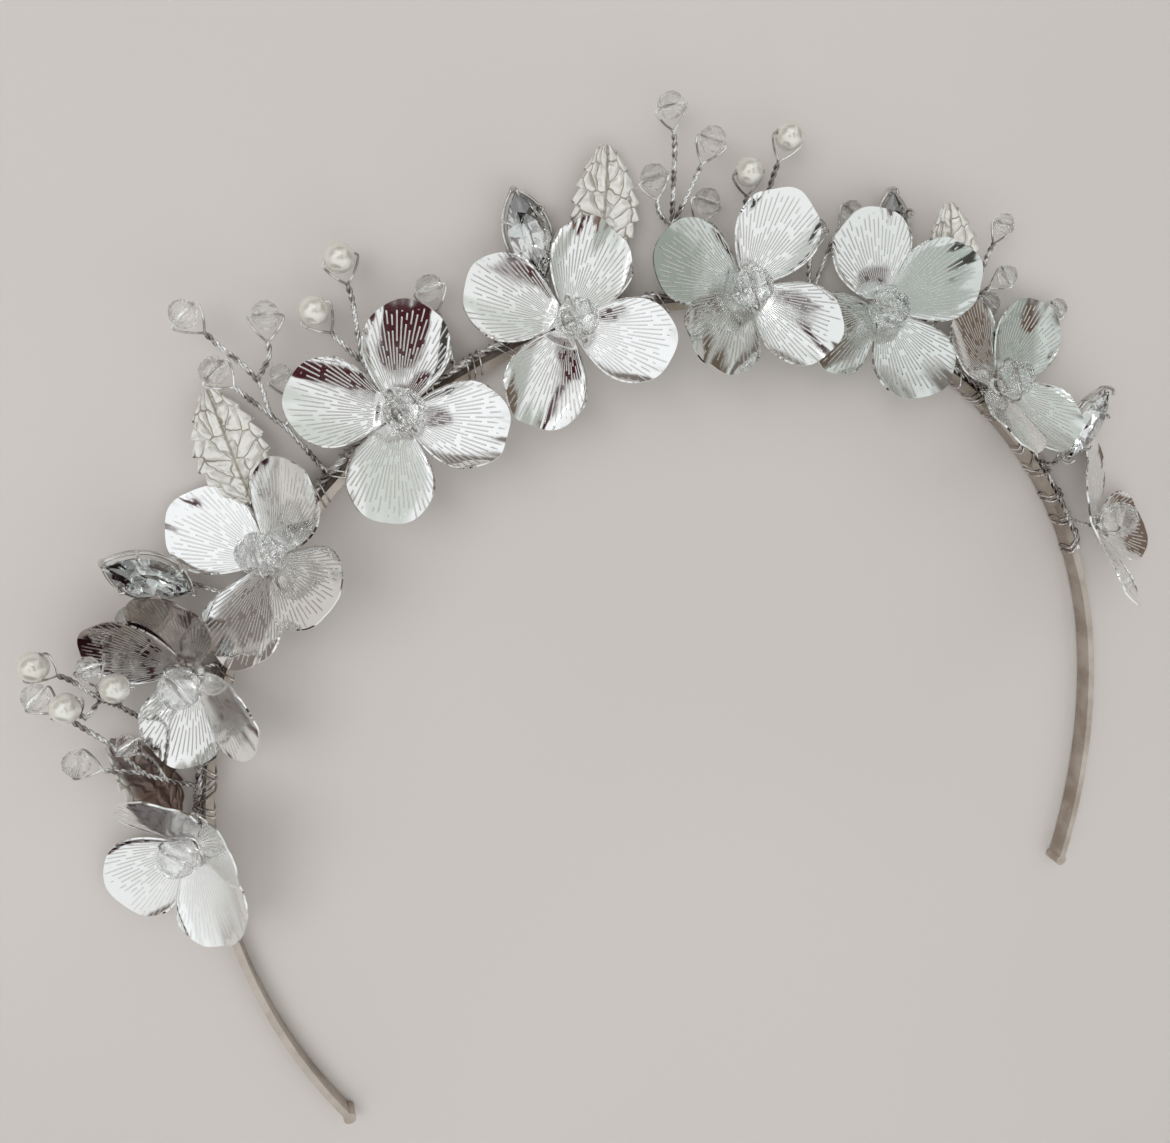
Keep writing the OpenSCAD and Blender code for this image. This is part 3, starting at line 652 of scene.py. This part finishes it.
def cut_bead(name, diameter, matrix, sides=10):
    """A round bead with diamond facets, drilled along x."""
    radius = diameter / 2
    shape = bmesh.new()
    lying = Matrix.Rotation(math.pi / 2, 4, "Y")
    for turn, along_bore, share in BEAD_RINGS:
        turned = Matrix.Rotation(turn * 2 * math.pi / sides, 4, "Z")
        ring = Matrix.Translation((along_bore * radius, 0, 0)) @ lying @ turned
        bmesh.ops.create_circle(shape, segments=sides, radius=share * radius, matrix=ring)
    wrap(shape)
    ends = [face for face in shape.faces if len(face.verts) == sides]
    bmesh.ops.inset_individual(shape, faces=ends, thickness=BEAD_END * radius - BORE_R)
    rims = [edge for face in ends for edge in face.edges]
    bmesh.ops.delete(shape, geom=ends, context="FACES_ONLY")
    bmesh.ops.bridge_loops(shape, edges=rims)
    bmesh.ops.recalc_face_normals(shape, faces=shape.faces[:])
    bmesh.ops.transform(shape, matrix=matrix, verts=shape.verts[:])
    return place(name, shape, [glass_finish], smooth=False)


def twist_pair(curve, points, radius, pitch):
    """A stem: two touching wires twisted together, on a smooth line through these points."""
    twist(curve, eased(points), 2, radius * MM, pitch * MM)


def there_and_back(foot, half):
    """The points of a loop of wire: up one side from its foot, and down its mirror image."""
    return [foot] + half + [(-x, y) for x, y in reversed(half)] + [foot]


heart_loops = wires("heart_loops", HEART_WIRE_R * MM, wire_finish, 1)
stalks = wires("flower_stalks", STALK_WIRE_R * MM, wire_finish, 1)
for number, row in enumerate(FLOWERS, 1):
    station = row[0]
    between_petals = Matrix.Rotation(math.radians(row[5] + 45), 4, "Z")
    over = flower_frame(*row[:5]) @ between_petals @ Matrix.Translation((0, 0, HEART_LIFT))
    piece = cut_bead(f"heart_crystal_{number}", HEART_D, over)
    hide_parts(f"flower_bead_{number}")
    loop = there_and_back(HEART_FOOT, HEART_LOOP)
    lay(heart_loops, eased([over @ Vector((x, 0, z)) for x, z in loop], 0.4 * MM))
    stalk = [cord_at(station + STALK_START), spot_at(station, CORD_OUT + 0.2, CORD_UP + 0.8),
             over @ Vector((0, 0, -HEART_LIFT - STALK_END))]
    twist_pair(stalks, stalk, STALK_WIRE_R, STALK_PITCH)
for name, data in [("heart_loops", heart_loops), ("flower_stalks", stalks)]:
    place(name, data, [])

# Marquise stones
# Four pointed oval rhinestones, foiled behind, each held by six claws over a low gallery and wired
# to the cord by a twisted stem.
STONE_L = 12
STONE_W = 6
# Station, height, forward, swing of the length along the arch, rise of the outer tip, roll
STONES = [
    [141, 14.2, 7.8, -1, 20, -10],
    [96.5, 13.2, 3.4, 3, 5, 6],
    [60, 13.5, 2.8, 28, 0, 10],
    [30, 8.2, 7.6, 20, 0, 20],
]
# Rings of a stone's corners, from its girdle up to its table, and the keel below: share of the way
# round at which a ring starts, number of corners, length, width and height
STONE_RINGS = [
    (0, 16, STONE_L, STONE_W, -0.12),
    (0, 16, STONE_L, STONE_W, 0.15),
    (1 / 16, 8, STONE_L * 0.78, STONE_W * 0.76, 0.9),
    (0, 8, STONE_L * 0.54, STONE_W * 0.50, 1.3),
    (0, 4, STONE_L * 0.25, 0.4, -2.2),
]
# A face whose normal points further down than this is foiled
FOILED = -0.2
CLAW_WIRE_R = 0.27
# The two rails of the gallery: height, and growth past the room that both have round the stone
RAILS = [(-0.75, 0.15), (-1.5, -0.5)]
RAIL_ROOM = 0.6
RAIL_POINTS = 40
# Feet of the claws, as shares of the width and length, and a claw's way out and up from its foot
CLAWS = [(0, 0.5), (0, -0.5), (0.41, 0.22), (0.41, -0.22), (-0.41, 0.22), (-0.41, -0.22)]
CLAW_LINE = [(0.1, -1.6), (0.55, -0.7), (0.6, 0.2), (0.3, 0.8), (-0.25, 0.95)]
STEM_WIRE_R = 0.2
STONE_STEM_PITCH = 2.2


def blade_frame(station, height, forward, swing, rise, roll):
    """A stone's or leaf's own frame, in millimetres: y along its length, z out of its face."""
    swing, rise, roll = (math.radians(angle) for angle in (swing, rise, roll))
    flat = outward(station) * math.cos(swing) + along(station) * math.sin(swing)
    y = flat * math.cos(rise) + Vector((0, 0, math.sin(rise)))
    level = Vector((0, 0, math.cos(rise))) - flat * math.sin(rise)
    z = level * math.cos(roll) + y.cross(level) * math.sin(roll)
    return axes(y.cross(z), y, z, spot_at(station, height, forward)) @ Matrix.Scale(MM, 4)


def marquise(share, length, width):
    """A point on the outline of a pointed oval, by a share of the way round it."""
    radius = (length * length + width * width) / 4 / width
    reach = math.asin(length / 2 / radius)
    side, share = (1, share * 2) if share < 0.5 else (-1, share * 2 - 1)
    angle = (-reach + 2 * reach * share) * side
    return Vector((side * (radius * math.cos(angle) - (radius - width / 2)), radius * math.sin(angle), 0))


def cord_below(point):
    """The point of the cord that has the same station as this one."""
    return cord_at(math.degrees(math.atan2(point.y, point.x)))


def taper(share):
    """A claw's thickness at a share of its length, from its foot to its tip."""
    return 1.15 - 0.35 * share


stone_finish, shade = finish_of("cut_glass", Roughness=0.0, IOR=1.6, Transmission_Weight=1.0,
                                Coat_Weight=1.0, Coat_Roughness=0.0, Coat_IOR=2.6)
tint(stone_finish, shade, 300, (0.95, 0.97, 0.97), (1, 1, 1))
foil_finish, shade = finish_of("foil_back", Metallic=1.0, Roughness=0.03)
tint(foil_finish, shade, 250, (0.80, 0.84, 0.84), (0.95, 0.95, 0.94))
setting_finish, shade = finish_of("setting_plate", Metallic=1.0)
grime = shade.noise(shade.object_point(), 500, 3)
feed(setting_finish,
     Base_Color=grime.stretch(0.3, 0.7).between((0.62, 0.60, 0.57), (0.90, 0.90, 0.89)),
     Roughness=grime.stretch(0.3, 0.7, 0.12, 0.28))

stone_stems = wires("stone_stems", STEM_WIRE_R * MM, wire_finish, 1)
for number, row in enumerate(STONES, 1):
    at = blade_frame(*row)
    shape = bmesh.new()
    for first, corners, length, width, z in STONE_RINGS:
        for i in range(corners):
            corner = marquise((first + i / corners) % 1, length, width)
            shape.verts.new((corner.x, corner.y, z))
    wrap(shape)
    bmesh.ops.recalc_face_normals(shape, faces=shape.faces[:])
    for face in shape.faces:
        face.material_index = 1 if face.normal.z < FOILED else 0
    bmesh.ops.transform(shape, matrix=at, verts=shape.verts[:])
    stone = place(f"cut_marquise_{number}", shape, [stone_finish, foil_finish], smooth=False)
    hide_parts(f"marquise_stone_{number}")

    setting = wires(f"claws_{number}", CLAW_WIRE_R * MM, setting_finish)
    for z, grow in RAILS:
        size = STONE_L + grow + RAIL_ROOM, STONE_W + grow + RAIL_ROOM
        rail = [marquise(i / RAIL_POINTS, *size) + Vector((0, 0, z)) for i in range(RAIL_POINTS)]
        lay(setting, [at @ point for point in rail], closed=True)
    for x, y in CLAWS:
        foot = Vector((x * STONE_W, y * STONE_L, 0))
        away = foot.normalized()
        claw = [foot + away * out + Vector((0, 0, z)) for out, z in CLAW_LINE]
        lay(setting, [at @ point for point in eased(claw, 0.3)], thin=taper)
    piece = place(f"claws_{number}", setting, [])
    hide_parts(f"claw_setting_{number}")

    # The stem runs up behind the stone's foot, and ends under the gallery
    foot = at @ Vector((0, -STONE_L / 2 - 1.6, -2.1))
    stem = [cord_below(foot), foot, at @ Vector((0, -STONE_L / 2 + 0.5, -1.7))]
    twist_pair(stone_stems, stem, STEM_WIRE_R, STONE_STEM_PITCH)
place("stone_stems", stone_stems, [])

# Leaves
# Four stamped leaves with a toothed edge, a raised midrib and side veins, in satin cream silver.
# The lowest one has a painted brown reflection in its base colour, but for its outer edge.
LEAF_L = 16.5
LEAF_W = 10
LEAF_SHEET = 0.3
# Rows of teeth, and how far back a row runs from the edge to the midrib, in rows
LEAF_ROWS = 7.2
ROW_DROP = 0.7
# Depth of a tooth as a share of the half width, and the least half width, at the foot and the tip
TOOTH = 0.2
LEAST_HALF = 0.45
# Height of the ridges between the veins, and height and width of the midrib
RIDGE_H = 0.24
RIB_H = 0.4
RIB_W = 0.09
# How far the halves fold up from the midrib, in degrees, and how high the leaf arches
FOLD = 9
ARCH_H = 0.8
LEAF_STEM_PITCH = 2.0
# The leaf with the painted brown reflection: where across it, from -1 to 1, the reflection starts, and
# how far on it is full
PAINTED_BROWN_LEAF = 4
PAINTED_BROWN_FROM = -0.8
PAINTED_BROWN_RUN = 0.25
# Station, height, forward, swing, rise and roll of the leaf's foot, as for stones
LEAVES = [
    [131.5, 7.0, 3.5, -36, -5, 0],
    [90.5, 6.4, 1.1, -14, 2, 0],
    [51.5, 7.1, 2.4, 38, 12, 0],
    [166.3, 3.8, 2.7, -57, 1, 50],
]

leaf_finish, shade = finish_of("leaf_plate", Metallic=0.8)
leaf_x = shade.node("ShaderNodeUVMap", uv_map="leaf").part(0)
leaf_y = shade.node("ShaderNodeUVMap", uv_map="leaf").part(1)
where = shade.object_point()
grain = shade.noise(where, 900, 3)
crumple = shade.noise(where, 380, 2)
side = shade.math("ABSOLUTE", leaf_x)
painted_brown_reflection = shade.attribute("painted_brown_reflection")
lobe_x = leaf_x * 2.1 + crumple * 0.9
lobe_y = leaf_y * LEAF_ROWS - side * ROW_DROP * 2 + crumple * 0.7
spread = shade.node("ShaderNodeCombineXYZ", {0: lobe_x, 1: lobe_y})
lobe = shade.node("ShaderNodeTexVoronoi", {"Vector": spread, "Scale": 1, "Randomness": 0.9},
                  voronoi_dimensions="2D", feature="DISTANCE_TO_EDGE")
veins = lobe.stretch(0.02, 0.075, 1, 0) * crumple.stretch(0.3, 0.55, 0.35, 1)
outline = shade.math("MAXIMUM", veins, side.stretch(0.02, 0.055, 0.8, 0)) * (1 - painted_brown_reflection * 0.6)
satin = grain.stretch(0.3, 0.7).between((0.92, 0.90, 0.84), (0.99, 0.975, 0.935))
# Painted brown reflection, darker towards the foot; under it the grooves are much darker and browner and
# the lines fainter
painted_brown_colour = leaf_y.stretch(0.35, 0.95).between((0.30, 0.215, 0.185), (0.40, 0.335, 0.315))
grime = painted_brown_reflection.between((0.42, 0.385, 0.32), (0.17, 0.12, 0.10))
feed(leaf_finish,
     Base_Color=outline.between(painted_brown_reflection.between(satin, painted_brown_colour), grime),
     Roughness=outline * 0.15 + grain.stretch(0.3, 0.7, 0.34, 0.46),
     Normal=shade.bump(lobe.stretch(0, 0.32) + crumple * 0.6, 0.5, 0.0003))


def leaf_half(share):
    """Half the leaf's width at a share of its length."""
    return LEAF_W / 2 * math.sin(math.pi * share ** 0.85) ** 0.8


def leaf_point(v, length_share):
    """A point of a leaf, from -1 to 1 across and at a share of its length."""
    share = 0.03 + 0.94 * length_share
    tooth = (length_share * LEAF_ROWS - abs(v) * ROW_DROP) % 1
    half = max(LEAST_HALF, leaf_half(min(share, 0.97))) * (1 - TOOTH * tooth * abs(v) ** 3)
    ridge = RIDGE_H * math.sin(math.pi * tooth) ** 0.7 * (1 - v ** 6)
    rib = RIB_H * math.exp(-(v / RIB_W) ** 2)
    fold = abs(v) * half * math.tan(math.radians(FOLD)) + ARCH_H * math.sin(math.pi * share)
    return Vector((v * half, share * LEAF_L, fold + ridge + rib))


leaf_stems = wires("leaf_stems", STEM_WIRE_R * MM, wire_finish, 1)
for number, row in enumerate(LEAVES, 1):
    at = blade_frame(*row)
    shape = bmesh.new()
    bmesh.ops.create_grid(shape, x_segments=24, y_segments=84, size=1)
    pattern = shape.loops.layers.uv.new("leaf")
    painted_brown_reflection = shape.verts.layers.float.new("painted_brown_reflection")
    for face in shape.faces:
        for loop in face.loops:
            loop[pattern].uv = (loop.vert.co.x, (loop.vert.co.y + 1) / 2)
    for vert in shape.verts:
        x, y, _ = vert.co
        # Painted brown reflection on one leaf, but for its outer edge
        vert[painted_brown_reflection] = min(1, max(0, (x - PAINTED_BROWN_FROM) / PAINTED_BROWN_RUN)) if number == PAINTED_BROWN_LEAF else 0
        vert.co = leaf_point(x, (y + 1) / 2)
    make_wall(shape, LEAF_SHEET)
    bmesh.ops.transform(shape, matrix=at, verts=shape.verts[:])
    piece = place(f"stamped_leaf_{number}", shape, [leaf_finish])
    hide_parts(f"leaf_{number}")
    # The stem runs up behind the leaf's foot, and ends under its first millimetres
    foot = at @ Vector((0, -1, -0.9))
    stem = [cord_below(foot), foot, at @ Vector((0, 2, -0.5))]
    twist_pair(leaf_stems, stem, STEM_WIRE_R, LEAF_STEM_PITCH)
place("leaf_stems", leaf_stems, [])

# Sprays of pearls and crystals
# Imitation pearls and clear cut beads, each threaded on a wire whose two ends are twisted together
# into the stem below it. The stems branch and end in the cord along the band.
PEARL, CRYSTAL, SMALL = "pearl", "crystal", "small"
BEAD_D = {PEARL: 4.0, CRYSTAL: 3.8, SMALL: 3.2}
# Angle from the bore's axis to the rim of a pearl's hole, in degrees, and steps of the outline
PEARL_HOLE = 12
PEARL_STEPS = 16
# Length of the loop below a bead
NECK = 1.5
SPRAY_LOOP_R = 0.16
SPRAY_STEM_R = 0.21
SPRAY_PITCH = 2.2
# Kind, place of the bead's middle, then the points of its stem down to the cord
SPRAY = [
    [PEARL, [150, 24, 10],
     [[151, 19.5, 8], [152.8, 15.2, 5.8], [154, 12.5, 3.2], [156, 8, 1.4], [160, 1, 1.7]]],
    [CRYSTAL, [153, 23, 7.5],
     [[154.8, 17.6, 7.5], [157, 12.5, 6.4], [159.7, 8.5, 5.4], [161, 5.4, 3.8], [162.5, 1, 1.7]]],
    [PEARL, [152.5, 19.2, 11.5], [[154, 16.5, 8], [152.8, 15.2, 5.8]]],
    [PEARL, [151, 13.8, 8.2], [[154, 12.5, 3.2]]],
    [SMALL, [150.1, 17.6, 6.4], [[152.7, 15, 5.7]]],
    [CRYSTAL, [158.5, 17, 7], [[159, 13, 7.2], [159.7, 8.5, 5.4]]],
    [SMALL, [156, 11, 9], [[158.3, 7.5, 5.8], [161, 5.4, 3.8]]],
    [CRYSTAL, [146, 14.2, 2.6], [[144.5, 9, 2.4], [144, 1, 1.7]]],
    [CRYSTAL, [122.5, 29, 7],
     [[122.5, 24, 6.5], [122.5, 17, 6], [124, 12.5, 5], [124, 10, 4], [125, 1, 1.7]]],
    [CRYSTAL, [118.5, 22, 5.5], [[120.5, 18, 5.5], [122.5, 17, 6]]],
    [CRYSTAL, [124, 22, 9], [[124, 17, 7.5], [124, 12.5, 5]]],
    [SMALL, [121, 15, 4], [[122, 11.5, 4], [124, 10, 4]]],
    [PEARL, [111.5, 22, 6], [[112.5, 17, 5.5], [115, 9, 4], [116, 1, 1.7]]],
    [PEARL, [115.5, 18.5, 5], [[115.5, 14, 5], [115, 9, 4]]],
    [CRYSTAL, [106.5, 12.5, 4], [[107, 8, 3], [108, 1, 1.7]]],
    [CRYSTAL, [83.5, 26, 6], [[83, 21, 4.5], [83, 10, 2.2], [83, 1, 1.7]]],
    [CRYSTAL, [80, 21.5, 5.5], [[81, 17, 4], [83, 10, 2.2]]],
    [CRYSTAL, [85.2, 17.2, 5.6], [[84.5, 12.5, 3.5], [83, 10, 2.2]]],
    [CRYSTAL, [80, 13.5, 4], [[81, 9, 2.2], [83, 5, 1.9]]],
    [PEARL, [76.5, 17.5, 5], [[76, 13, 3.2], [74.5, 9.5, 2.4], [73.5, 1, 1.7]]],
    [PEARL, [73.5, 22.5, 6], [[74, 17.5, 4.5], [74.5, 9.5, 2.4]]],
    [CRYSTAL, [69, 10.8, 4.2], [[68.2, 6.5, 2.4], [67, 1, 1.7]]],
    [SMALL, [65, 14.7, 2.2], [[66, 10.5, 2], [67, 1, 1.7]]],
    [SMALL, [51, 21.5, 5], [[50.5, 17, 4], [49, 9, 2.2], [48.5, 1, 1.7]]],
    [SMALL, [47.5, 16, 4], [[48.5, 12, 3], [49, 9, 2.2]]],
    [SMALL, [46.8, 11.8, 2.2], [[47.3, 7.5, 1.7], [48.4, 1, 1.7]]],
    [SMALL, [40, 18, 2.1], [[40, 13, 1.2], [39, 6, 1.4], [38, 1, 1.7]]],
]

pearl_finish, shade = finish_of("nacre", Metallic=0.35, IOR=1.6,
                                Coat_Weight=1.0, Coat_Roughness=0.04, Coat_IOR=1.9)
lustre = shade.noise(shade.object_point(), 260, 2)
feed(pearl_finish,
     Base_Color=lustre.stretch(0.35, 0.65).between((0.80, 0.77, 0.69), (0.88, 0.87, 0.81)),
     Roughness=lustre.stretch(0.3, 0.7, 0.18, 0.28))


def pearl(name, radius, matrix):
    """A round pearl, drilled along x: its outline and the wall of its bore, spun about x."""
    shape = bmesh.new()
    steps = [PEARL_HOLE + (180 - 2 * PEARL_HOLE) * i / PEARL_STEPS for i in range(PEARL_STEPS + 1)]
    angles = [math.radians(step) for step in steps]
    rim = [shape.verts.new((radius * math.cos(a), radius * math.sin(a), 0)) for a in angles]
    edges = [shape.edges.new(pair) for pair in zip(rim, rim[1:])]
    edges.append(shape.edges.new((rim[-1], rim[0])))
    bmesh.ops.spin(shape, geom=rim + edges, axis=(1, 0, 0), cent=(0, 0, 0), steps=32,
                   angle=2 * math.pi, use_merge=True)
    bmesh.ops.remove_doubles(shape, verts=shape.verts[:], dist=0.001)
    bmesh.ops.recalc_face_normals(shape, faces=shape.faces[:])
    bmesh.ops.transform(shape, matrix=matrix, verts=shape.verts[:])
    return place(name, shape, [pearl_finish])


spray_stems = wires("spray_stems", SPRAY_STEM_R * MM, wire_finish, 1)
spray_loops = wires("spray_loops", SPRAY_LOOP_R * MM, wire_finish, 1)
for number, (kind, bead, stem) in enumerate(SPRAY, 1):
    middle = spot_at(*bead)
    stem_points = [spot_at(*point) for point in stem]
    y = (middle - stem_points[0]).normalized()
    x = y.cross(Vector((0, 0, 1))).normalized()
    at = axes(x, y, x.cross(y), middle) @ Matrix.Scale(MM, 4)
    radius = BEAD_D[kind] / 2
    foot = -(radius + NECK)
    if kind == PEARL:
        piece = pearl(f"pearl_{number}", radius, at)
    else:
        piece = cut_bead(f"spray_crystal_{number}", BEAD_D[kind], at, 8)
    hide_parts(f"spray_bead_{number}")
    # One side of the loop, which runs round the bead and into its bore
    half = [(0.55 * radius, -radius - 0.45), (0.98 * radius, -0.62 * radius),
            (radius + 0.32, -0.15 * radius), (radius * 0.93, 0)]
    loop = there_and_back((0, foot), half)
    lay(spray_loops, eased([at @ Vector((across, up, 0)) for across, up in loop], 0.35 * MM))
    twist_pair(spray_stems, [at @ Vector((0, foot + 0.1, 0))] + stem_points, SPRAY_STEM_R, SPRAY_PITCH)
for name, data in [("spray_stems", spray_stems), ("spray_loops", spray_loops)]:
    place(name, data, [])
